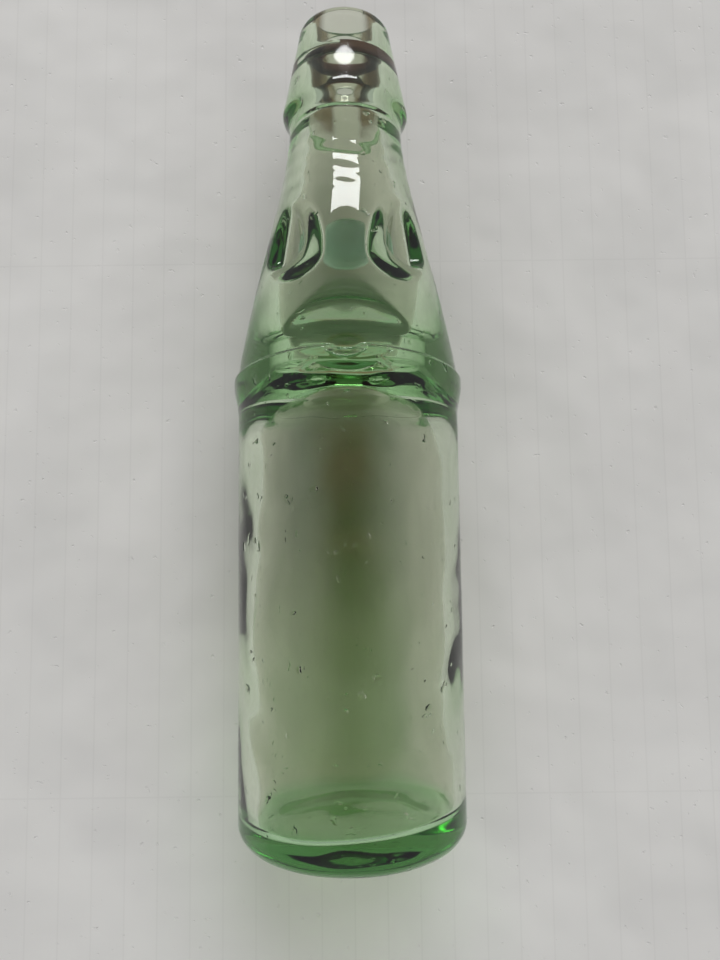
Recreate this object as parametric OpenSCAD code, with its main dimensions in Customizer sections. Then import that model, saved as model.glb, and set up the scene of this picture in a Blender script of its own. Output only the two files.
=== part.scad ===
// Pinched-neck stopper bottle of pale green glass, closed by a loose glass
// marble that the drink's gas lifts against a rubber ring in the mouth.
// It stands upright on its base, centred on the origin, and the two dimples
// that hold the marble back while pouring face -Y. Millimetres.

/* [Body] */
// outside diameter of the body
body_d = 58; // [55:0.5:60]
// thickness of the body's wall
body_wall = 4.5; // [3.5:0.1:5.5]
// thickness of the floor above the bearing plane
floor_t = 7.5; // [6:0.5:10]
// outside radius of the heel, where the body rounds into the base
heel_r = 5.5; // [4:0.5:6.5]
// inside radius between the wall and the floor
floor_fillet = 6; // [4:0.5:9]
// outside radius of the flat ring the bottle stands on
bearing_r = 22.5; // [20:0.5:23]
// width of the flat ring the bottle stands on
bearing_w = 2; // [1.5:0.25:3]
// rise of the hollow under the base
push_up = 2.2; // [1.5:0.1:3]

/* [Shoulder and neck] */
// diameter over the shoulder ridge
ridge_d = 60.2; // [59:0.2:62]
// height at which the body starts to widen into the ridge
shoulder_z = 104; // [102:0.5:107]
// height at which the ridge is full
ridge_z = 114.5; // [112:0.5:116]
// height of the ridge's crisp upper edge, where the neck starts to taper
crest_z = 120.2; // [119:0.2:122]
// depth of the small step along the ridge's upper edge
crest_step = 0.7; // [0.4:0.1:1]
// smallest outside diameter of the neck
neck_d = 30.6; // [29:0.1:32]
// distance of the neck's narrowest line below the lip
neck_drop = 29.8; // [28:0.2:32]

/* [Mouth] */
// height of the bottle over the lip
total_h = 217; // [210:1:230]
// diameter of the collar at the foot of the mouth
collar_d = 33.9; // [33:0.1:35]
// distance of the collar's widest line below the lip
collar_drop = 25.4; // [24.4:0.2:26.4]
// outside diameter where the tapered mouth meets the lip
lip_d = 25.8; // [25:0.1:27]
// inside diameter of the mouth above the ring
mouth_d = 13.6; // [13.2:0.1:14.4]
// outside rounding of the lip
lip_r = 3.2; // [2.6:0.1:3.4]
// inside rounding of the lip
lip_in_r = 2.6; // [2.2:0.1:2.9]

/* [Sealing ring] */
// diameter of the groove and of the ring seated in it
groove_d = 19; // [18.4:0.1:19.6]
// distance of the groove's lower face below the lip
groove_drop = 13.8; // [12.8:0.1:14.8]
// height of the ring
ring_h = 3.4; // [3:0.1:4.2]
// inside diameter of the ring
ring_in_d = 12.4; // [12:0.1:13]
// rounding of the ring's inner edges
ring_edge_r = 1.1; // [0.7:0.1:1.4]

/* [Throat and marble chamber] */
// inside diameter of the throat that the marble rises through
throat_d = 17.4; // [17:0.1:18]
// distance of the throat's lower edge below the lip
throat_drop = 26.5; // [25:0.5:28]
// inside diameter just under the throat's edge, where the neck widens
flare_d = 19.4; // [18.6:0.1:20]
// height of the step between the throat and the flare
flare_h = 2.2; // [1.6:0.1:3]
// inside diameter of the chamber at its widest line
bulb_d = 33.8; // [32:0.2:34.6]
// height of the chamber's widest line above the pinch
bulb_up = 22; // [20:0.5:24]
// inside diameter of the bowl under the marble
bowl_d = 33; // [31:0.2:34]
// height of the bowl's rim above the pinch
bowl_up = 16.5; // [15:0.5:18]

/* [Marble] */
// diameter of the marble
marble_d = 16; // [15.6:0.1:16.3]
// height of the marble's centre above the pinch, where the photograph shows it
marble_up = 30.2; // [28:0.2:33]

/* [Pinch under the marble] */
// height of the middle of the pinch, inside
pinch_z = 122.2; // [121:0.2:123]
// clear gap between the two ledges, front and back
pinch_gap = 10.6; // [9:0.2:12]
// diameter of the round waist that the ledges stand in
waist_d = 19; // [18:0.5:22]
// height of the straight part of the waist
waist_h = 4.5; // [3:0.5:6]
// radius of each ledge seen from above
ledge_sweep_r = 24; // [20:1:30]
// rounding of each ledge's edge
ledge_nose_r = 4.2; // [3.4:0.1:4.8]
// slope of each ledge's upper and lower sides, in degrees
ledge_slope = 18; // [10:1:22]
// distance of the middle of the outside dents below the pinch
dent_drop = 2.4; // [1.6:0.2:3.2]
// depth of the dent outside each ledge, measured in from the ridge
dent_deep = 2.2; // [1.5:0.1:3]
// radius of each dent seen from above
dent_sweep_r = 8; // [7:0.5:12]
// rounding at the bottom of each dent
dent_nose_r = 2.2; // [2:0.1:3]
// slope of each dent's upper and lower sides, in degrees
dent_slope = 34; // [20:1:40]
// distance of the shoulder of the body's hollow below the pinch
dome_drop = 18; // [16:0.5:20]

/* [Dimples] */
// height of the deepest line of the dimples above the pinch
dimple_up_z = 25.6; // [24:0.2:27]
// width of a dimple at its deepest line
dimple_w = 14.6; // [13:0.2:16]
// how far a dimple runs up from its deepest line
dimple_up = 15.5; // [14:0.5:17]
// how far a dimple runs down from its deepest line
dimple_down = 4.5; // [4:0.5:6]
// distance of a dimple's middle from the bottle's axis
dimple_out = 26.3; // [26:0.1:26.8]
// angle of each dimple away from the front, in degrees
dimple_turn = 42; // [40:1:44]
// lean of the dimples, following the neck's taper, in degrees
dimple_lean = 12; // [10:1:14]
// splay of the dimples, their tops away from the front, in degrees
dimple_splay = 11; // [6:1:14]
// thickness of the glass pressed in by the dimples
dimple_wall = 5.3; // [5:0.1:5.6]

/* [Hidden] */
$fn = 96;

glass_rgb = [0.74, 0.82, 0.74, 0.5];
marble_rgb = [0.42, 0.60, 0.56];
rubber_rgb = [0.20, 0.09, 0.06];

body_r = body_d / 2;
cavity_r = body_r - body_wall;
ridge_r = ridge_d / 2;
neck_r = neck_d / 2;
neck_z = total_h - neck_drop;
collar_r = collar_d / 2;
collar_z = total_h - collar_drop;
mouth_r = mouth_d / 2;
lip_top_r = lip_d / 2 - lip_r;
groove_r = groove_d / 2;
groove_z = total_h - groove_drop;
throat_r = throat_d / 2;
throat_z = total_h - throat_drop;
flare_r = flare_d / 2;
flare_z = throat_z - flare_h;
bulb_r = bulb_d / 2;
bulb_z = pinch_z + bulb_up;
bowl_r = bowl_d / 2;
bowl_z = pinch_z + bowl_up;
waist_r = waist_d / 2;
waist_top_z = pinch_z + waist_h / 2;
waist_low_z = pinch_z - waist_h / 2;
dome_z = pinch_z - dome_drop;
dimple_z = pinch_z + dimple_up_z;

// how far each end of a curve runs on before it bends, as a share of its height
neck_low_pull = 0.335;
neck_top_pull = 0.205;
neck_low_lean = 0.25;
bulb_top_pull = 0.27;
bulb_low_pull = 0.38;
bulb_top_lean = 0.07;
bowl_pull = 0.6;
waist_pull = 0.15;
dome_pull = 0.8;
overcut = 1;

curve_n = 16;
bowl_n = 10;
arc_n = 8;
step_n = 8;

// point of a cubic curve between p0 and p3 at t, 0 to 1
function cubic(p0, p1, p2, p3, t) =
    pow(1 - t, 3) * p0 + 3 * pow(1 - t, 2) * t * p1
    + 3 * (1 - t) * pow(t, 2) * p2 + pow(t, 3) * p3;

// points along a cubic curve, both ends included
function cubic_points(p0, p1, p2, p3, n) =
    [for (i = [0:n]) cubic(p0, p1, p2, p3, i / n)];

// points along an arc about c from angle a0 to angle a1
function arc_points(c, r, a0, a1) =
    [for (i = [0:arc_n]) let (a = a0 + (a1 - a0) * i / arc_n) c + r * [cos(a), sin(a)]];

// points of a smooth step from p0 to p1, level at both ends
function step_points(p0, p1) =
    [for (i = [0:step_n]) let (t = i / step_n)
        [p0[0] + (p1[0] - p0[0]) * (1 - cos(180 * t)) / 2, p0[1] + (p1[1] - p0[1]) * t]];

// the hollow under the base is part of a large ball
function push_up_points() =
    let (half = bearing_r - bearing_w, big = (half * half + push_up * push_up) / (2 * push_up),
        a1 = asin(half / big))
    [for (i = [0:arc_n]) let (a = a1 * i / arc_n)
        [big * sin(a), push_up - big * (1 - cos(a))]];

// the outside of the neck, from the ridge's upper edge to the narrowest line
function neck_points() =
    let (rise = neck_z - crest_z, foot = ridge_r - crest_step, low = neck_low_pull * rise)
    cubic_points([foot, crest_z], [foot - neck_low_lean * (foot - neck_r), crest_z + low],
        [neck_r, neck_z - neck_top_pull * rise], [neck_r, neck_z], curve_n);

// the inside of the neck, from the chamber's widest line up to the flare
function bulb_points() =
    let (rise = flare_z - bulb_z, grow = bulb_top_lean * (bulb_r - flare_r))
    cubic_points([bulb_r, bulb_z], [bulb_r, bulb_z + bulb_low_pull * rise],
        [flare_r + grow, flare_z - bulb_top_pull * rise], [flare_r, flare_z], curve_n);

// the bowl that the marble drops into, from the waist up to its rim
function bowl_points() =
    let (rise = bowl_z - waist_top_z)
    cubic_points([waist_r, waist_top_z], [waist_r, waist_top_z + waist_pull * rise],
        [bowl_r, bowl_z - bowl_pull * rise], [bowl_r, bowl_z], bowl_n);

// the top of the body's hollow, from the wall up to the waist
function dome_points() =
    let (rise = waist_low_z - dome_z)
    cubic_points([cavity_r, dome_z], [cavity_r, dome_z + dome_pull * rise],
        [waist_r, waist_low_z - waist_pull * rise], [waist_r, waist_low_z], bowl_n);

// outside of the bottle as turned, before it is pinched
module turned_outside() {
    rotate_extrude()
        polygon(concat(
            push_up_points(),
            arc_points([body_r - heel_r, heel_r], heel_r, -90, 0),
            step_points([body_r, shoulder_z], [ridge_r, ridge_z]),
            [[ridge_r, crest_z - crest_step]],
            neck_points(),
            step_points([neck_r, neck_z + overcut / 10], [collar_r, collar_z]),
            arc_points([lip_top_r, total_h - lip_r], lip_r, 0, 90),
            [[0, total_h]]));
}

// the hollow inside, up to the groove
module turned_cavity() {
    rotate_extrude()
        polygon(concat(
            [[0, floor_t]],
            arc_points([cavity_r - floor_fillet, floor_t + floor_fillet], floor_fillet, -90, 0),
            dome_points(),
            bowl_points(),
            bulb_points(),
            [[throat_r, throat_z], [throat_r, groove_z + overcut], [0, groove_z + overcut]]));
}

// a wheel whose rounded rim is pressed in from the front (side -1) or the back (side 1)
module wheel(side, away, level, rim, nose, slope) {
    hub_half = nose / cos(slope) + (rim - nose) * tan(slope);
    translate([0, side * away, level])
        rotate_extrude()
            polygon(concat([[0, -hub_half]],
                arc_points([rim - nose, 0], nose, slope - 90, 90 - slope),
                [[0, hub_half]]));
}

// the thick ledge inside, that keeps the marble out of the body
module ledge(side) {
    wheel(side, pinch_gap / 2 + ledge_sweep_r, pinch_z, ledge_sweep_r, ledge_nose_r, ledge_slope);
}

// the shallow dent outside the ledge
module dent(side) {
    wheel(side, ridge_r - dent_deep + dent_sweep_r, pinch_z - dent_drop, dent_sweep_r,
        dent_nose_r, dent_slope);
}

// one dimple, grown by extra: an egg with its blunt end down, half sunk in the neck
module dimple_egg(side, extra) {
    half_w = dimple_w / 2 + extra;
    rotate([0, 0, side * dimple_turn])
        translate([0, -dimple_out, dimple_z])
            rotate([-dimple_lean, 0, 0])
                rotate([0, side * dimple_splay, 0])
                    rotate_extrude()
                        polygon(concat(
                            [for (i = [0:arc_n]) let (a = -90 * (1 - i / arc_n))
                                [half_w * cos(a), (dimple_down + extra) * sin(a)]],
                            [for (i = [1:arc_n]) let (a = 90 * i / arc_n)
                                [half_w * cos(a), (dimple_up + extra) * sin(a)]]));
}

module dents_and_dimples() {
    for (side = [-1, 1]) {
        dent(side);
        dimple_egg(side, 0);
    }
}

module ledges_and_bumps() {
    for (side = [-1, 1]) {
        ledge(side);
        dimple_egg(side, dimple_wall);
    }
}

// the opening from the groove up to the lip, with its rounded inner edge
module mouth_opening() {
    translate([0, 0, groove_z + ring_h - overcut])
        cylinder(r = mouth_r, h = total_h - groove_z - ring_h + 2 * overcut);
    translate([0, 0, total_h])
        rotate_extrude()
            polygon(concat([[0, overcut], [0, -lip_in_r]],
                arc_points([mouth_r + lip_in_r, -lip_in_r], lip_in_r, 180, 90),
                [[mouth_r + lip_in_r, overcut]]));
}

module glass_bottle() {
    color(glass_rgb)
        difference() {
            turned_outside();
            dents_and_dimples();
            difference() {
                turned_cavity();
                ledges_and_bumps();
            }
            translate([0, 0, groove_z])
                cylinder(r = groove_r, h = ring_h);
            mouth_opening();
        }
}

module marble() {
    color(marble_rgb)
        translate([0, 0, pinch_z + marble_up])
            sphere(d = marble_d);
}

module sealing_ring() {
    in_r = ring_in_d / 2;
    color(rubber_rgb)
        translate([0, 0, groove_z])
            rotate_extrude()
                polygon(concat(
                    arc_points([in_r + ring_edge_r, ring_edge_r], ring_edge_r, 270, 180),
                    arc_points([in_r + ring_edge_r, ring_h - ring_edge_r], ring_edge_r, 180, 90),
                    [[groove_r, ring_h], [groove_r, 0]]));
}

glass_bottle();
marble();
sealing_ring();
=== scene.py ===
"""Marble stopper bottle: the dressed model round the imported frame.

Lengths are in metres. The bottle stands upright on z = 0 with its axis on z,
and the two dimples of its neck face -y. In the photograph it lies on its back
on pale paper, so the paper is the upright plane behind it here.
"""
import math

import bpy
import numpy as np
from mathutils import Matrix, Vector

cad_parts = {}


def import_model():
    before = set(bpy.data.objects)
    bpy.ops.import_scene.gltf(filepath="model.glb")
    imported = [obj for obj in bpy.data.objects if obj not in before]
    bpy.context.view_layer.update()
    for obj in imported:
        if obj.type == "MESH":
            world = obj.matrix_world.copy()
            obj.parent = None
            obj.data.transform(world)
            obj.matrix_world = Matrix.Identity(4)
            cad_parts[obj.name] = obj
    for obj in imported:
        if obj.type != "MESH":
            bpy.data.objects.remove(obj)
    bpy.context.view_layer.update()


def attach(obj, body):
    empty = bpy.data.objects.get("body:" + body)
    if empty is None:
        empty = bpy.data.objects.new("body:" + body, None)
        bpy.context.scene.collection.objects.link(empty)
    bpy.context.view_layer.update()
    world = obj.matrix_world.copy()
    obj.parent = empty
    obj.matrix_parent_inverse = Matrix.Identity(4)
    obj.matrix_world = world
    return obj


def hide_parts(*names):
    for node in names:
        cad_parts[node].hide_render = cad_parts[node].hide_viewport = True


MM = 0.001

# Sizes of the bottle. The collar, the lip, the crest, the chamber, the waist, the ledges and the floor
# differ a little from the part's source, because the thick glass shows each of them strongly.

# Body, floor and base.
BODY_R, WALL = 29 * MM, 4.5 * MM
FLOOR, FILLET, CROWN = 7.0 * MM, 2.6 * MM, 1.2 * MM
HEEL, BEARING_R, BEARING_W, PUSH_UP = 5.5 * MM, 22.5 * MM, 2 * MM, 2.2 * MM

# Shoulder ridge, and how far its crest rises at the front and the back.
RIDGE_R, CREST_ROUND, ARCH, ARCH_SPREAD = 30.1 * MM, 0.9 * MM, 2.6 * MM, 8 * MM
SHOULDER_Z, RIDGE_Z, CREST_Z = 107.5 * MM, 115.6 * MM, 117.6 * MM

# Neck, collar and lip, outside.
TOP = 217 * MM
NECK_R, NECK_Z = 15.3 * MM, TOP - 29.8 * MM
COLLAR_R, COLLAR_Z = 17.15 * MM, TOP - 25.4 * MM
LIP_R, LIP_ROUND, LIP_IN_ROUND = 12.65 * MM, 3.2 * MM, 2.6 * MM

# Mouth, the rubber ring and its groove, and the throat under it.
MOUTH_R, GROOVE_R, GROOVE_Z, GROOVE_EDGE = 6.8 * MM, 9.5 * MM, TOP - 13.8 * MM, 0.2 * MM
RING_H, RING_IN_R, RING_EDGE = 3.4 * MM, 6.2 * MM, 1.1 * MM
THROAT_R, THROAT_Z = 8.7 * MM, TOP - 26.5 * MM
FLARE_R, FLARE_Z = 9.7 * MM, TOP - 28.7 * MM

# The marble's chamber, and the waist between the ledges.
PINCH_Z = 122.2 * MM
BULB_R, BULB_Z = 17.2 * MM, PINCH_Z + 17 * MM
BOWL_R, BOWL_Z = 16.8 * MM, PINCH_Z + 13.5 * MM
WAIST_R, WAIST_FLARE = 13.6 * MM, 3 * MM
WAIST_TOP_Z, WAIST_LOW_Z, DOME_Z = PINCH_Z + 2.25 * MM, PINCH_Z - 2.25 * MM, PINCH_Z - 22 * MM
MARBLE_R, MARBLE_Z = 8 * MM, PINCH_Z + 30.2 * MM

# The wheels that press in the dents and the ledges: height, depth or gap, radius, rounding of the rim,
# and the slopes in degrees under and over it.
DENT_Z, DENT_DEEP, DENT_SWEEP, DENT_NOSE = CREST_Z + 0.2 * MM, 2.2 * MM, 8 * MM, 2.2 * MM
LEDGE_Z, LEDGE_GAP, LEDGE_SWEEP, LEDGE_NOSE = PINCH_Z + 3 * MM, 14.2 * MM, 24 * MM, 4.2 * MM
DENT_SLOPES, LEDGE_SLOPES = (34, 34), (24, 44)

# The dimples: height, width, reach up and down, distance from the axis, and turns in degrees.
DIMPLE_Z, DIMPLE_W, DIMPLE_UP, DIMPLE_DOWN = PINCH_Z + 25.6 * MM, 14.6 * MM, 15.5 * MM, 4.5 * MM
DIMPLE_OUT, DIMPLE_WALL = 26.3 * MM, 5.3 * MM
DIMPLE_TURN, DIMPLE_LEAN, DIMPLE_SPLAY = 42, 12, 11

# Widths over which the pressed places run into the surface round them.
DENT_SOFT, DIMPLE_SOFT, LEDGE_SOFT, BACK_SOFT = 0.8 * MM, 1.2 * MM, 4 * MM, 3 * MM

# Points round the bottle, and round the marble and the ring.
COLUMNS, SMALL_COLUMNS = 192, 128


# Shape rules

def cubic(p0, p1, p2, p3, n):
    """Points of a cubic curve: (1-t)^3 p0 + 3(1-t)^2 t p1 + 3(1-t) t^2 p2 + t^3 p3."""
    t = np.linspace(0, 1, n)[:, None]
    p0, p1, p2, p3 = (np.array(p, float) for p in (p0, p1, p2, p3))
    return (1 - t) ** 3 * p0 + 3 * (1 - t) ** 2 * t * p1 + 3 * (1 - t) * t ** 2 * p2 + t ** 3 * p3


def arc(centre, radius, start, end, n):
    """Points of an arc: centre plus radius times (cos a, sin a), a from start to end in degrees."""
    a = np.radians(np.linspace(start, end, n))
    return np.array(centre, float) + radius * np.stack([np.cos(a), np.sin(a)], 1)


def step(p0, p1, n):
    """Points of a soft step, level at both ends: r = r0 + (r1 - r0)(1 - cos(pi t)) / 2, z straight."""
    t = np.linspace(0, 1, n)
    return np.stack([p0[0] + (p1[0] - p0[0]) * (1 - np.cos(np.pi * t)) / 2,
                     p0[1] + (p1[1] - p0[1]) * t], 1)


def line(p0, p1, n):
    """Points of a straight line from p0 to p1, evenly spaced: (1 - t) p0 + t p1."""
    t = np.linspace(0, 1, n)[:, None]
    return (1 - t) * np.array(p0, float) + t * np.array(p1, float)


def soft_min(a, b, k):
    """Smaller of a and b, rounded over a width k: min(a, b) - k/4 * max(1 - |a - b| / k, 0)^2."""
    h = np.clip(1 - np.abs(a - b) / k, 0, 1)
    return np.minimum(a, b) - h * h * k / 4


def wheel_reach(turn, z, side, away, level, rim, nose, slopes):
    """Distance from the axis to a wheel's rim pressed in from the front (side -1) or the back.

    At height z the wheel's radius is w, and a ray at angle a from its centre line meets it
    at d cos a - sqrt(w^2 - d^2 sin^2 a), where d is the wheel's distance from the axis.
    The rim is rounded by nose and then widens at the lower or the upper of two slopes in degrees.
    """
    slope = np.radians(np.where(z < level, slopes[0], slopes[1]))
    h = np.abs(z - level)
    bend = nose * np.cos(slope)
    w = np.where(h < bend, rim - nose + np.sqrt(np.clip(nose ** 2 - h ** 2, 0, None)),
                 rim - nose + nose * np.sin(slope) - (h - bend) / np.tan(slope))
    a = turn if side < 0 else turn - np.pi
    under = w ** 2 - (away * np.sin(a)) ** 2
    hit = (w > 0) & (under > 0) & (np.cos(a) > 0)
    return np.where(hit, away * np.cos(a) - np.sqrt(np.clip(under, 0, None)), 1.0)


def dent_reach(turn, z, side):
    """The shallow dent pressed into the ridge from outside: a wheel's rim."""
    away = RIDGE_R - DENT_DEEP + DENT_SWEEP
    return wheel_reach(turn, z, side, away, DENT_Z, DENT_SWEEP, DENT_NOSE, DENT_SLOPES)


def ledge_reach(turn, z, side):
    """The ledge of thick glass inside, that keeps the marble out of the body: a wheel's rim."""
    away = LEDGE_GAP / 2 + LEDGE_SWEEP
    return wheel_reach(turn, z, side, away, LEDGE_Z, LEDGE_SWEEP, LEDGE_NOSE, LEDGE_SLOPES)


def dimple_reach(turn, z, side, grow):
    """Distance from the axis to one dimple, grown by a thickness, along each direction.

    The dimple is an egg, blunt end down: half ellipses of half width w and height
    up or down, turned about a line that leans with the neck and splays away from the
    front. A ray that leaves the axis level meets it at the smaller root of a quadratic.
    """
    w = DIMPLE_W / 2 + grow
    lean, swing, splay = (math.radians(v) for v in (DIMPLE_LEAN, DIMPLE_TURN * side, DIMPLE_SPLAY * side))
    x1, y = np.sin(turn - swing) + 0 * z, -np.cos(turn - swing) + 0 * z
    x0, height = 0 * x1, z - DIMPLE_Z
    y1, z1 = y * math.cos(lean), y * math.sin(lean)
    y0 = DIMPLE_OUT * math.cos(lean) - height * math.sin(lean)
    z0 = DIMPLE_OUT * math.sin(lean) + height * math.cos(lean)
    x0, z0 = x0 * math.cos(splay) - z0 * math.sin(splay), x0 * math.sin(splay) + z0 * math.cos(splay)
    x1, z1 = x1 * math.cos(splay) - z1 * math.sin(splay), x1 * math.sin(splay) + z1 * math.cos(splay)
    reach = np.full(x1.shape, 1.0)
    for high, sign in ((DIMPLE_UP + grow, 1), (DIMPLE_DOWN + grow, -1)):
        qa = (x1 ** 2 + y1 ** 2) / w ** 2 + z1 ** 2 / high ** 2
        qb = 2 * ((x0 * x1 + y0 * y1) / w ** 2 + z0 * z1 / high ** 2)
        qc = (x0 ** 2 + y0 ** 2) / w ** 2 + z0 ** 2 / high ** 2 - 1
        under = qb ** 2 - 4 * qa * qc
        t = (-qb - np.sqrt(np.clip(under, 0, None))) / (2 * qa)
        ok = (under > 0) & (t > 0) & ((z0 + t * z1) * sign >= 0)
        reach = np.where(ok, np.minimum(reach, t), reach)
    return reach


def swept(profile, turns, reach=None):
    """Points on a grid: each profile point (r, z) carried round the axis.

    The point at turn a is (r sin a, -r cos a, z), so a = 0 is the front; reach(turn, z, r),
    where given, changes r.
    """
    a, r = np.meshgrid(turns, profile[:, 0])
    z = np.repeat(profile[:, 1][:, None], len(turns), 1)
    if reach is not None:
        r = reach(a, z, r)
    return np.stack([r * np.sin(a), -r * np.cos(a), z], -1)


def all_round(columns):
    """Turns evenly spaced round the axis, from the back by the front to the back."""
    return np.linspace(-np.pi, np.pi, columns, endpoint=False)


def closed_grid(grid):
    """Points and faces of a grid that closes round its columns, and whose end rows are poles."""
    rows, cols, _ = grid.shape
    inner = grid[1:-1].reshape(-1, 3)
    verts = np.vstack([grid[0].mean(0), inner, grid[-1].mean(0)])
    k = np.arange(rows - 2)[:, None] * cols + 1
    j = np.arange(cols)[None, :]
    n = (j + 1) % cols
    quads = np.stack([k[:-1] + j, k[:-1] + n, k[1:] + n, k[1:] + j], -1).reshape(-1, 4)
    j, n, last = j[0], n[0], len(verts) - 1
    low = np.stack([np.zeros(cols, int), 1 + n, 1 + j], -1)
    top = np.stack([np.full(cols, last), k[-1, 0] + j, k[-1, 0] + n], -1)
    return verts, quads.tolist() + low.tolist() + top.tolist()


def hoop_grid(grid):
    """Points and faces of a grid that closes round its columns and round its rows."""
    rows, cols, _ = grid.shape
    i, j = np.arange(rows)[:, None], np.arange(cols)[None, :]
    m, n = (i + 1) % rows, (j + 1) % cols
    quads = np.stack([i * cols + j, i * cols + n, m * cols + n, m * cols + j], -1).reshape(-1, 4)
    return grid.reshape(-1, 3), quads.tolist()


def mesh_piece(name, verts, faces, material):
    """One smooth mesh in the scene, with its place in its points."""
    mesh = bpy.data.meshes.new(name)
    mesh.from_pydata(verts.tolist(), [], faces)
    mesh.polygons.foreach_set("use_smooth", np.ones(len(faces), bool))
    mesh.materials.append(material)
    mesh.update()
    piece = bpy.data.objects.new(name, mesh)
    bpy.context.scene.collection.objects.link(piece)
    return piece


# Pieces

def bottle_outside():
    """Profile rows of the outside, from the middle of the base up to the top of the lip.

    A ball's cap under the base, the rounded heel, the straight wall, a soft step out to the ridge,
    its crest, the neck as one cubic curve, a soft step out to the collar, and the lip.
    """
    half = BEARING_R - BEARING_W
    ball = (half ** 2 + PUSH_UP ** 2) / (2 * PUSH_UP)
    a = np.linspace(0, math.asin(half / ball), 10)
    hollow = np.stack([ball * np.sin(a), PUSH_UP - ball * (1 - np.cos(a))], 1)
    rise, foot = NECK_Z - CREST_Z, RIDGE_R - CREST_ROUND
    # Where the handles of the neck's curve lie, as shares of its width and its height.
    inward, upward, downward = 0.25, 0.335, 0.205
    return np.vstack([
        hollow,
        arc((BODY_R - HEEL, HEEL), HEEL, -90, 0, 14),
        line((BODY_R, HEEL), (BODY_R, SHOULDER_Z), 26)[1:-1],
        step((BODY_R, SHOULDER_Z), (RIDGE_R, RIDGE_Z), 24)[:-1],
        line((RIDGE_R, RIDGE_Z), (RIDGE_R, CREST_Z - CREST_ROUND), 14)[:-1],
        arc((foot, CREST_Z - CREST_ROUND), CREST_ROUND, 0, 80, 6),
        cubic((foot, CREST_Z), (foot - inward * (foot - NECK_R), CREST_Z + upward * rise),
              (NECK_R, NECK_Z - downward * rise), (NECK_R, NECK_Z), 104),
        step((NECK_R, NECK_Z), (COLLAR_R, COLLAR_Z), 12)[1:],
        line((COLLAR_R, COLLAR_Z), (LIP_R, TOP - LIP_ROUND), 12)[1:-1],
        arc((LIP_R - LIP_ROUND, TOP - LIP_ROUND), LIP_ROUND, 8, 90, 12)])


def bottle_inside():
    """Profile rows of the inside, from the top of the lip down to the middle of the floor.

    The mouth, the ring's groove, the throat and its flare, three cubic curves for the chamber, the
    bowl and the dome, the straight wall, and a floor raised in its middle by crown * sin(t).
    """
    bore, low, cavity = TOP - LIP_IN_ROUND, GROOVE_Z + RING_H, BODY_R - WALL
    neck, bowl, dome = FLARE_Z - BULB_Z, BOWL_Z - WAIST_TOP_Z, WAIST_LOW_Z - DOME_Z
    # Where the upper and the lower handle of each curve lie, as shares of its height.
    neck_up, neck_down, bowl_up, bowl_down, dome_up, dome_down = 0.27, 0.26, 0.72, 0.05, 0.10, 0.56
    lean = 0.07 * (BULB_R - FLARE_R)
    rows = 14
    crown = np.array([0, CROWN]) * np.sin(np.linspace(0, np.pi / 2, rows))[1:, None]
    return np.vstack([
        arc((MOUTH_R + LIP_IN_ROUND, bore), LIP_IN_ROUND, 90, 180, 10),
        line((MOUTH_R, bore), (MOUTH_R, low + GROOVE_EDGE), 5)[1:],
        [(MOUTH_R + GROOVE_EDGE, low), (GROOVE_R, low)],
        [(GROOVE_R, GROOVE_Z), (THROAT_R + GROOVE_EDGE, GROOVE_Z)],
        line((THROAT_R, GROOVE_Z - GROOVE_EDGE), (THROAT_R, THROAT_Z), 8),
        line((THROAT_R, THROAT_Z), (FLARE_R, FLARE_Z), 5)[1:-1],
        cubic((FLARE_R, FLARE_Z), (FLARE_R + lean, FLARE_Z - neck_up * neck),
              (BULB_R, BULB_Z + neck_down * neck), (BULB_R, BULB_Z), 72),
        line((BULB_R, BULB_Z), (BOWL_R, BOWL_Z), 22)[1:-1],
        cubic((BOWL_R, BOWL_Z), (BOWL_R, BOWL_Z - bowl_up * bowl),
              (WAIST_R + WAIST_FLARE, WAIST_TOP_Z + bowl_down * bowl), (WAIST_R, WAIST_TOP_Z), 40),
        line((WAIST_R, WAIST_TOP_Z), (WAIST_R, WAIST_LOW_Z), 12)[1:-1],
        cubic((WAIST_R, WAIST_LOW_Z), (WAIST_R + WAIST_FLARE, WAIST_LOW_Z - dome_up * dome),
              (cavity, DOME_Z + dome_down * dome), (cavity, DOME_Z), 44),
        line((cavity, DOME_Z), (cavity, FLOOR + FILLET), 44)[1:-1],
        arc((cavity - FILLET, FLOOR + FILLET), FILLET, 0, -90, 12),
        step((cavity - FILLET, FLOOR), (0, FLOOR), rows)[1:] + crown])


def pressed(turn, z, r):
    """Outside distance from the axis once the dents and the dimples are pressed in, with soft edges.

    The neck has tool ripples: r - depth (1 + sin(z / pitch + 2 sin(2 turn))), which fade as
    exp(-((z - middle) / spread)^2).
    """
    depth, pitch, middle, spread = 0.045 * MM, 0.76 * MM, 174 * MM, 11 * MM
    ripple = (1 + np.sin(z / pitch + 2 * np.sin(2 * turn))) * np.exp(-((z - middle) / spread) ** 2)
    r = r - depth * ripple
    for side in (-1, 1):
        r = soft_min(r, dent_reach(turn, z, side), DENT_SOFT)
        r = soft_min(r, dimple_reach(turn, z, side, 0), DIMPLE_SOFT)
    return r


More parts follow.
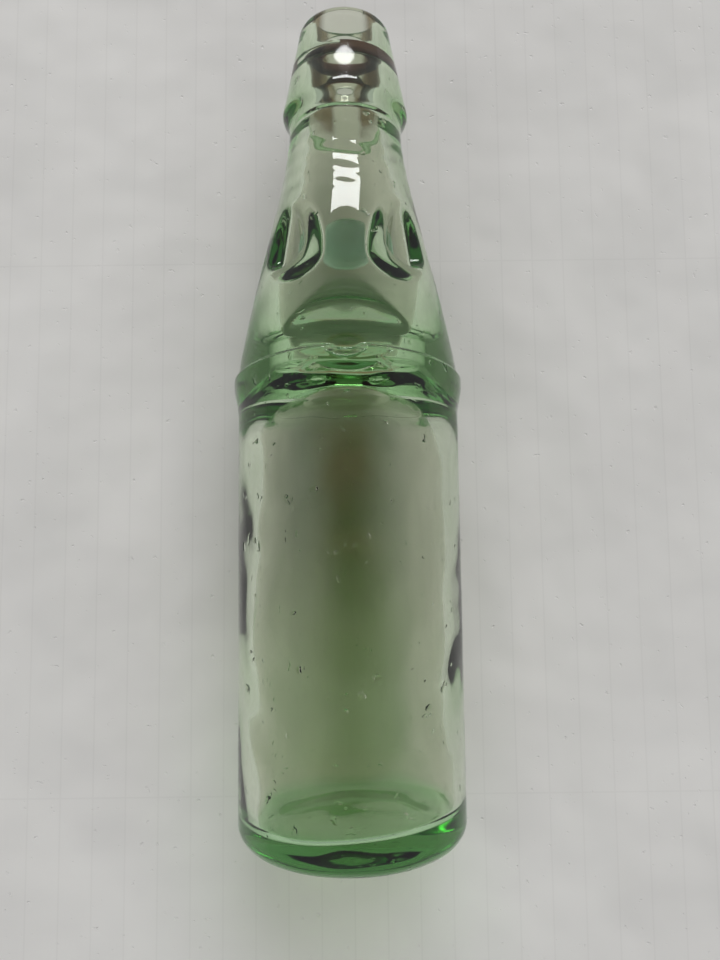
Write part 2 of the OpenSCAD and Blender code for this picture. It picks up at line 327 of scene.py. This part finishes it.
def pressed_inside(turn, z, r):
    """Inside distance from the axis: the ledges, the backs of the dimples and an uneven wall.

    In millimetres the wall swells by thick exp(-((z - middle) / spread)^2), on one side by the share
    uneven more, and drifts by two slow waves that wind up the wall, one with two crests round it and
    one with three. All of it fades towards the axis as (r / room)^2.
    """
    thick, uneven, middle, spread, room = 0.9, 0.3, 36 * MM, 12 * MM, 20 * MM
    swell = np.exp(-((z - middle) / spread) ** 2) * (1 + uneven * np.cos(turn - 1.2))
    two, three = np.sin(2 * turn + z / (17 * MM)), np.sin(3 * turn - z / (11 * MM) + 1)
    drift = 0.25 * two + 0.2 * three
    r = r - (thick * swell + drift) * MM * np.clip(r / room, 0, 1) ** 2
    for side in (-1, 1):
        r = soft_min(r, ledge_reach(turn, z, side), LEDGE_SOFT)
        r = soft_min(r, dimple_reach(turn, z, side, DIMPLE_WALL), BACK_SOFT)
    return r


def arched(grid):
    """Lifts the shoulder ridge at the front and the back.

    z + ARCH cos^2(turn) exp(-((z - crest) / ARCH_SPREAD)^2)
    """
    x, y, z = grid[..., 0], grid[..., 1], grid[..., 2]
    front = y ** 2 / (x ** 2 + y ** 2 + 1e-12)
    return np.stack([x, y, z + ARCH * front * np.exp(-((z - CREST_Z) / ARCH_SPREAD) ** 2)], -1)


def settled(grid):
    """Tips the floor inside a little to one side, with a slow wave.

    z + share (tilt x + height sin(2 turn + 0.6)), where share is 1 at the floor and runs out over
    depth under the level top, and the wave fades towards the axis over the width fade.
    """
    top, depth, tilt, height, fade = 22 * MM, 12 * MM, 0.04, 0.3 * MM, 12 * MM
    x, y, z = grid[..., 0], grid[..., 1], grid[..., 2]
    share = np.clip((top - z) / depth, 0, 1)
    wave = height * np.sin(2 * np.arctan2(x, -y) + 0.6) * np.clip(np.hypot(x, y) / fade, 0, 1)
    return np.stack([x, y, z + share * (tilt * x + wave)], -1)


def make_bottle(material):
    """The bottle as one closed skin: outside rows, over the lip, inside rows.

    The columns lie closer together at the front and the back: turn - 0.22 sin(2 turn).
    """
    turns = all_round(COLUMNS)
    turns = turns - 0.22 * np.sin(2 * turns)
    outside = arched(swept(bottle_outside(), turns, pressed))
    inside = settled(swept(bottle_inside()[1:], turns, pressed_inside))
    return mesh_piece("bottle_skin", *closed_grid(np.concatenate([outside, inside])), material)


def make_marble(material):
    """A glass ball, very slightly out of round: r = R (1 - 0.004 sin^2(3 b)) at latitude b."""
    b = np.linspace(-np.pi / 2, np.pi / 2, 97)
    r = MARBLE_R * (1 - 0.004 * np.sin(3 * b) ** 2)
    profile = np.stack([r * np.cos(b), MARBLE_Z + r * np.sin(b)], 1)
    return mesh_piece("marble_ball", *closed_grid(swept(profile, all_round(SMALL_COLUMNS))), material)


def make_ring(material):
    """The rubber ring: a band with rounded inner edges, carried round the axis and closed on itself."""
    e, lo, hi = RING_EDGE, GROOVE_Z, GROOVE_Z + RING_H
    profile = np.vstack([
        arc((RING_IN_R + e, lo + e), e, 180, 270, 8), [(GROOVE_R, lo), (GROOVE_R, hi)],
        arc((RING_IN_R + e, hi - e), e, 90, 180, 8)])
    return mesh_piece("rubber_ring", *hoop_grid(swept(profile, all_round(SMALL_COLUMNS))), material)


# Materials. Colours are linear.

GLASS_IOR = 1.52

# Of a light path that is bent more often than this inside the glass, half goes on tinted by the first
# tone and half ends on the second.
MOST_BENDS = 5.5
TIRED_THROUGH, TIRED_GREEN = (0.62, 0.72, 0.52, 1), (0.70, 0.86, 0.60, 1)

# Tones of the thick base and of the brown on the throat's left and right walls.
BASE_GREEN, THROAT_SIDE_BROWN = (0.52, 0.80, 0.50, 1), (0.13, 0.08, 0.035, 1)


class Web:
    """A tree of shader nodes, with a short way to add each kind.

    A value is a number, a colour, a vector or another node's output.
    """

    def __init__(self, tree):
        self.nodes, self.links = tree.nodes, tree.links
        self.point = self.nodes.new("ShaderNodeTexCoord").outputs["Object"]

    def feed(self, socket, value):
        """Links an output to a socket, or sets the socket to a plain value."""
        if isinstance(value, bpy.types.NodeSocket):
            self.links.new(value, socket)
        else:
            socket.default_value = value

    def add(self, kind, **values):
        """A node with values for its named inputs, where an underscore stands for a space."""
        node = self.nodes.new("ShaderNode" + kind)
        for name, value in values.items():
            self.feed(node.inputs[name.replace("_", " ")], value)
        return node

    def along(self, axis):
        """How far the surface's point lies along an axis."""
        return self.add("SeparateXYZ", Vector=self.point).outputs[axis]

    def math(self, operation, *values):
        """Result of an operation on up to three numbers."""
        node = self.nodes.new("ShaderNodeMath")
        node.operation = operation
        for socket, value in zip(node.inputs, values):
            self.feed(socket, value)
        return node.outputs[0]

    def vector(self, operation, *values):
        """Node of an operation on vectors."""
        node = self.nodes.new("ShaderNodeVectorMath")
        node.operation = operation
        for socket, value in zip(node.inputs, values):
            self.feed(socket, value)
        return node

    def noise(self, scale, detail):
        """Cloudy noise over the surface, round 0.5."""
        return self.add("TexNoise", Vector=self.point, Scale=scale, Detail=detail).outputs["Fac"]

    def spread(self, value, low, high, soft=False):
        """Value stretched so that low gives 0 and high gives 1, straight or with soft ends."""
        node = self.add("MapRange", Value=value, From_Min=low, From_Max=high)
        if soft:
            node.interpolation_type = "SMOOTHSTEP"
        return node.outputs[0]

    def shades(self, value, *stops):
        """The colour at a value along stops, each of them a place from 0 to 1 and a colour."""
        node = self.add("ValToRGB", Fac=value)
        elements = node.color_ramp.elements
        for place, _ in stops[1:-1]:
            elements.new(place)
        for element, (place, colour) in zip(elements, stops):
            element.position, element.color = place, colour
        return node.outputs["Color"]

    def blend(self, factor, first, second):
        """A colour: first where the factor is 0, second where it is 1."""
        node = self.nodes.new("ShaderNodeMix")
        node.data_type = "RGBA"
        for name, value in (("Factor", factor), ("A", first), ("B", second)):
            self.feed(node.inputs[name], value)
        return node.outputs["Result"]

    def either(self, factor, first, second):
        """A shader: first where the factor is 0, second where it is 1."""
        node = self.nodes.new("ShaderNodeMixShader")
        for socket, value in zip(node.inputs, (factor, first.outputs[0], second.outputs[0])):
            self.feed(socket, value)
        return node

    def end(self, shader, volume=None):
        """Feeds the material's output."""
        out = self.add("OutputMaterial", Surface=shader.outputs[0])
        if volume is not None:
            self.feed(out.inputs["Volume"], volume.outputs[0])


def new_material(name):
    """A node material and its web, with no shader yet."""
    mat = bpy.data.materials.new(name)
    mat.use_nodes = True
    mat.node_tree.nodes.clear()
    return mat, Web(mat.node_tree)


def make_wear_group():
    """Shared wear: a cloudy colour, patchy roughness, and a normal with slow waves and fine pits.

    Colour = Color times (1 - Mottle * cloud), roughness = Rough + Haze * cloud, and the height under
    the normal is a slow noise of size 1 / Wave Scale plus specks where a fine noise is over a level.
    """
    cloud_low, cloud_high, pit_level = 0.35, 0.65, 0.70
    group = bpy.data.node_groups.new("surface_wear", "ShaderNodeTree")
    group.interface.new_socket("Color", in_out="INPUT", socket_type="NodeSocketColor")
    for name in ("Mottle", "Cloud Scale", "Rough", "Haze", "Wave Scale", "Wave Height", "Pit Scale",
                 "Pit Height"):
        group.interface.new_socket(name, in_out="INPUT", socket_type="NodeSocketFloat")
    for name, kind in (("Color", "Color"), ("Roughness", "Float"), ("Normal", "Vector")):
        group.interface.new_socket(name, in_out="OUTPUT", socket_type="NodeSocket" + kind)

    web = Web(group)
    given, out = web.nodes.new("NodeGroupInput").outputs, web.nodes.new("NodeGroupOutput").inputs
    cloud = web.spread(web.noise(given["Cloud Scale"], detail=4), cloud_low, cloud_high)
    dim = web.math("SUBTRACT", 1.0, web.math("MULTIPLY", given["Mottle"], cloud))
    tint = web.vector("SCALE", given["Color"])
    web.feed(tint.inputs["Scale"], dim)
    pits = web.math("MAXIMUM", web.math("SUBTRACT", web.noise(given["Pit Scale"], detail=2), pit_level), 0.0)
    waves = web.math("MULTIPLY", web.noise(given["Wave Scale"], detail=1), given["Wave Height"])
    height = web.math("SUBTRACT", waves, web.math("MULTIPLY", pits, given["Pit Height"]))
    bump = web.add("Bump", Strength=1, Distance=1, Height=height)
    web.feed(out["Color"], tint.outputs[0])
    web.feed(out["Roughness"], web.math("MULTIPLY_ADD", given["Haze"], cloud, given["Rough"]))
    web.feed(out["Normal"], bump.outputs[0])
    return group


def add_wear(web, shader, wear, **values):
    """Places the wear group with its own values and feeds a shader's colour, roughness and normal."""
    node = web.nodes.new("ShaderNodeGroup")
    node.node_tree = wear
    for name, value in values.items():
        web.feed(node.inputs[name.replace("_", " ")], value)
    tone = "Base Color" if "Base Color" in shader.inputs else "Color"
    for output, socket in (("Color", tone), ("Roughness", "Roughness"), ("Normal", "Normal")):
        web.feed(shader.inputs[socket], node.outputs[output])


def varied_tone(web, tone):
    """The glass's tone, greener in the thick base and brown on the throat's side walls under the ring.

    The brown is three soft steps multiplied: over height, distance from the axis and
    distance from the middle along x, so only the throat's left and right walls as the camera sees them turn
    brown.
    """
    rise, reach, edge = (187 * MM, 193 * MM), (10.4 * MM, 9.9 * MM), (3.4 * MM, 5.2 * MM)
    base_top = (5 * MM, 11 * MM)
    around = web.vector("MULTIPLY", web.point, (1, 1, 0)).outputs[0]
    far = web.vector("LENGTH", around).outputs["Value"]
    above = web.spread(web.along("Z"), *rise, soft=True)
    within = web.spread(far, *reach, soft=True)
    beside = web.spread(web.math("ABSOLUTE", web.along("X")), *edge, soft=True)
    # Brown on the throat's left and right walls under the ring, as the camera sees them.
    throat_sides = web.math("MULTIPLY", web.math("MULTIPLY", above, within), beside)
    base = web.spread(web.along("Z"), *base_top)
    return web.blend(throat_sides, web.shades(base, (0, BASE_GREEN), (1, tone)), THROAT_SIDE_BROWN)


def painted_shadow_tone(web):
    """Painted shadow: what the glass lets through to the paper, set by height and not by thickness, so its
    shadow on the paper is darkest at the foot and in the upper part.

    Each stop's place is a share of the height up to top.
    """
    top = 180 * MM
    height = web.spread(web.along("Z"), 0, top)
    clear = (0.98, 0.99, 0.95, 1)
    return web.shades(
        height, (0, (0.34, 0.28, 0.20, 1)), (0.11, clear), (0.40, clear), (0.54, (0.50, 0.50, 0.38, 1)),
        (0.70, (0.28, 0.27, 0.18, 1)), (1, (0.50, 0.49, 0.42, 1)))


def glass_material(name, wear, tone, thick, density, varied=False, **values):
    """Clear glass: each wall dims the light by its tone, and thick glass by what it takes out along the way.

    Of the light that has been bent too often inside, half goes straight on, tinted, and half ends on
    a dull green. Light on its way to the paper goes straight through, dimmed by a painted shadow tone over
    the height.
    """
    mat, web = new_material(name)
    shader = web.add("BsdfPrincipled", Metallic=0, Transmission_Weight=1, IOR=GLASS_IOR)
    add_wear(web, shader, wear, Color=varied_tone(web, tone) if varied else tone, **values)
    tired = web.either(0.5, web.add("BsdfTransparent", Color=TIRED_THROUGH),
                       web.add("BsdfDiffuse", Color=TIRED_GREEN))
    path = web.add("LightPath").outputs
    seen = web.either(web.math("GREATER_THAN", path["Ray Depth"], MOST_BENDS), shader, tired)
    # Painted shadow: shadow rays pass straight through, dimmed by a tone set by height.
    passing = web.add("BsdfTransparent", Color=painted_shadow_tone(web))
    absorb = web.add("VolumeAbsorption", Color=thick, Density=density)
    web.end(web.either(path["Is Shadow Ray"], seen, passing), absorb)
    return mat


def rubber_material(name, wear):
    """Old red-brown rubber: a dark base, rubbed and perished to a lighter brown in patches."""
    mat, web = new_material(name)
    shader = web.add("BsdfPrincipled")
    dark, rubbed = (0.040, 0.017, 0.009, 1), (0.170, 0.062, 0.026, 1)
    brown = web.shades(web.noise(300, detail=5), (0, dark), (1, rubbed))
    add_wear(web, shader, wear, Color=brown, Mottle=0.35, Cloud_Scale=160, Rough=0.48, Haze=0.2,
             Wave_Scale=120, Wave_Height=0.0003, Pit_Scale=1500, Pit_Height=0.0006)
    web.end(shader)
    return mat


def paper_material(name, wear):
    """Pale matt paper with faint lines and creases, seen from its front only."""
    mat, web = new_material(name)
    flat = web.add("CombineXYZ", X=web.along("X"), Y=web.along("Z")).outputs[0]
    lines = web.add("TexBrick", Vector=flat, Color1=(0.795, 0.782, 0.762, 1), Color2=(0.785, 0.774, 0.754, 1),
                    Mortar=(0.760, 0.748, 0.728, 1), Scale=1, Mortar_Size=0.0004, Mortar_Smooth=0.9,
                    Brick_Width=0.0097, Row_Height=0.163)
    lines.offset = 0
    sheet = web.add("BsdfDiffuse")
    add_wear(web, sheet, wear, Color=lines.outputs["Color"], Mottle=0.05, Cloud_Scale=22, Rough=0.8, Haze=0.1,
             Wave_Scale=45, Wave_Height=0.003, Pit_Scale=500, Pit_Height=0.002)
    facing = web.add("NewGeometry").outputs["Backfacing"]
    web.end(web.either(facing, sheet, web.add("BsdfTransparent")))
    return mat


def board_material(name, middle, reach):
    """A dark glow for a painted reflection in the glass, browner above, that turns to the room's tone towards
    its edges.

    The turn follows the distance from the middle, measured in shares of the reach.
    """
    mat, web = new_material(name)
    shift = web.add("Mapping", Vector=web.point, Location=middle, Scale=reach)
    shift.vector_type = "TEXTURE"
    far = web.vector("LENGTH", shift.outputs[0]).outputs["Value"]
    black, white = (0, 0, 0, 1), (1, 1, 1, 1)
    lower, upper, room = (0.012, 0.012, 0.009, 1), (0.37, 0.20, 0.16, 1), (0.46, 0.46, 0.44, 1)
    edge = web.shades(far, (0.30, black), (0.97, white))
    dark = web.shades(web.spread(web.along("Z"), 0.04, 0.16), (0, lower), (1, upper))
    web.end(web.add("Emission", Color=web.blend(edge, dark, room)))
    return mat


# Stage

CORNERS = ((-1, -1), (1, -1), (1, 1), (-1, 1))


def stage_sheet(name, corners, material):
    """A flat four-cornered sheet that belongs to the stage."""
    mesh = bpy.data.meshes.new(name)
    mesh.from_pydata([tuple(c) for c in corners], [], [(0, 1, 2, 3)])
    mesh.materials.append(material)
    sheet = bpy.data.objects.new(name, mesh)
    bpy.context.scene.collection.objects.link(sheet)
    return sheet


def make_paper(wear):
    """The sheet of paper behind the bottle, facing the front."""
    half, y = 1.6, 31.5 * MM
    corners = [(a * half, y, b * half) for a, b in CORNERS]
    stage_sheet("paper", corners, paper_material("pale_paper", wear))


def make_dark_board():
    """A dark glowing board behind the camera that paints a dark reflection into the glass; it is hidden from
    the camera, from diffuse light and from shadows.
    """
    tilt, away, height, half_w, half_h = math.radians(8), 0.5, 0.19, 0.50, 0.40
    facing = Vector((0, math.cos(tilt), math.sin(tilt)))
    rise = Vector((0, -math.sin(tilt), math.cos(tilt)))
    side = Vector((1, 0, 0))
    middle = Vector((0, 0, height)) - facing * away
    corners = [middle + side * (a * half_w) + rise * (b * half_h) for a, b in CORNERS]
    glow = board_material("dark_board", (0, -away, height), (0.46, 1.0, 0.40))
    card = stage_sheet("board", corners, glow)
    card.visible_camera = card.visible_diffuse = card.visible_shadow = False


def make_camera():
    """The camera: below the bottle's front, looking up along it, as the photograph was taken.

    One pixel of the picture shows the bottle's axis at a known height and depth, and the focal length
    is in pixels.
    """
    width, height, focal = 720, 960, 750.0
    tilt, roll = math.radians(5), math.radians(0.7)
    axis_col, axis_row, axis_depth, axis_z = 350.7, 640.0, 195.8 * MM, 49.3 * MM
    up = Vector((0, -math.sin(tilt), math.cos(tilt)))
    back = Vector((0, -math.cos(tilt), -math.sin(tilt)))
    right = up.cross(back)
    up, right = up * math.cos(roll) + right * math.sin(roll), right * math.cos(roll) - up * math.sin(roll)
    place = (Vector((0, 0, axis_z)) - right * ((axis_col - width / 2) * axis_depth / focal)
             + up * ((axis_row - height / 2) * axis_depth / focal) + back * axis_depth)
    data = bpy.data.cameras.new("camera")
    data.sensor_width = 36
    data.lens = data.sensor_width * focal / height
    data.clip_start = 0.01
    camera = bpy.data.objects.new("camera", data)
    camera.matrix_world = Matrix((
        (right.x, up.x, back.x, place.x), (right.y, up.y, back.y, place.y),
        (right.z, up.z, back.z, place.z), (0, 0, 0, 1)))
    bpy.context.scene.collection.objects.link(camera)
    bpy.context.scene.camera = camera


def make_lamp(name, aim, azimuth, elevation, distance, size, power, mirrored=True):
    """A soft lamp that looks at aim from a direction; azimuth 0 is the front.

    One that isn't mirrored lights the paper and the ring, and leaves no patch in the glass.
    """
    data = bpy.data.lights.new(name, "AREA")
    data.shape = "RECTANGLE"
    data.size, data.size_y = size
    data.energy = power
    a, e = math.radians(azimuth), math.radians(elevation)
    out = Vector((math.sin(a) * math.cos(e), -math.cos(a) * math.cos(e), math.sin(e)))
    lamp = bpy.data.objects.new(name, data)
    lamp.location = Vector(aim) + out * distance
    lamp.rotation_euler = out.to_track_quat("Z", "Y").to_euler()
    lamp.visible_glossy, lamp.visible_transmission = mirrored, False
    bpy.context.scene.collection.objects.link(lamp)


def make_world():
    """An even pale room."""
    world = bpy.data.worlds.new("room")
    world.use_nodes = True
    sky = world.node_tree.nodes["Background"].inputs
    sky["Color"].default_value = (0.98, 0.99, 1.0, 1)
    sky["Strength"].default_value = 0.48
    bpy.context.scene.world = world


# Main

def main():
    """Builds the pieces on the frame, the stage and the camera."""
    scene = bpy.context.scene
    scene.view_settings.view_transform = "Standard"
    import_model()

    wear = make_wear_group()
    bottle = make_bottle(glass_material(
        "green_glass", wear, tone=(0.925, 0.88, 0.84, 1), thick=(0.44, 0.82, 0.39, 1), density=34,
        varied=True, Mottle=0.05, Cloud_Scale=24, Rough=0.015, Haze=0.05, Wave_Scale=50,
        Wave_Height=0.0013, Pit_Scale=260, Pit_Height=0.0035))
    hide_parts("glass_bottle")
    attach(bottle, "bottle")
    ring = make_ring(rubber_material("red_brown_rubber", wear))
    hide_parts("sealing_ring")
    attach(ring, "bottle")
    marble = make_marble(glass_material(
        "teal_glass", wear, tone=(0.88, 0.97, 0.94, 1), thick=(0.38, 0.80, 0.70, 1), density=70,
        Mottle=0.10, Cloud_Scale=120, Rough=0.03, Haze=0.06, Wave_Scale=150, Wave_Height=0.0002,
        Pit_Scale=700, Pit_Height=0.001))
    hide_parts("marble")
    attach(marble, "marble")

    make_paper(wear)
    make_dark_board()
    make_world()
    make_lamp("window", aim=(0, 0, 0.17), azimuth=1, elevation=54.8, distance=0.75, size=(0.44, 0.078),
              power=1.45)
    make_lamp("ceiling", aim=(0.04, 0, 0.10), azimuth=16, elevation=42, distance=1.1, size=(0.7, 0.7),
              power=4.2, mirrored=False)
    make_camera()


main()
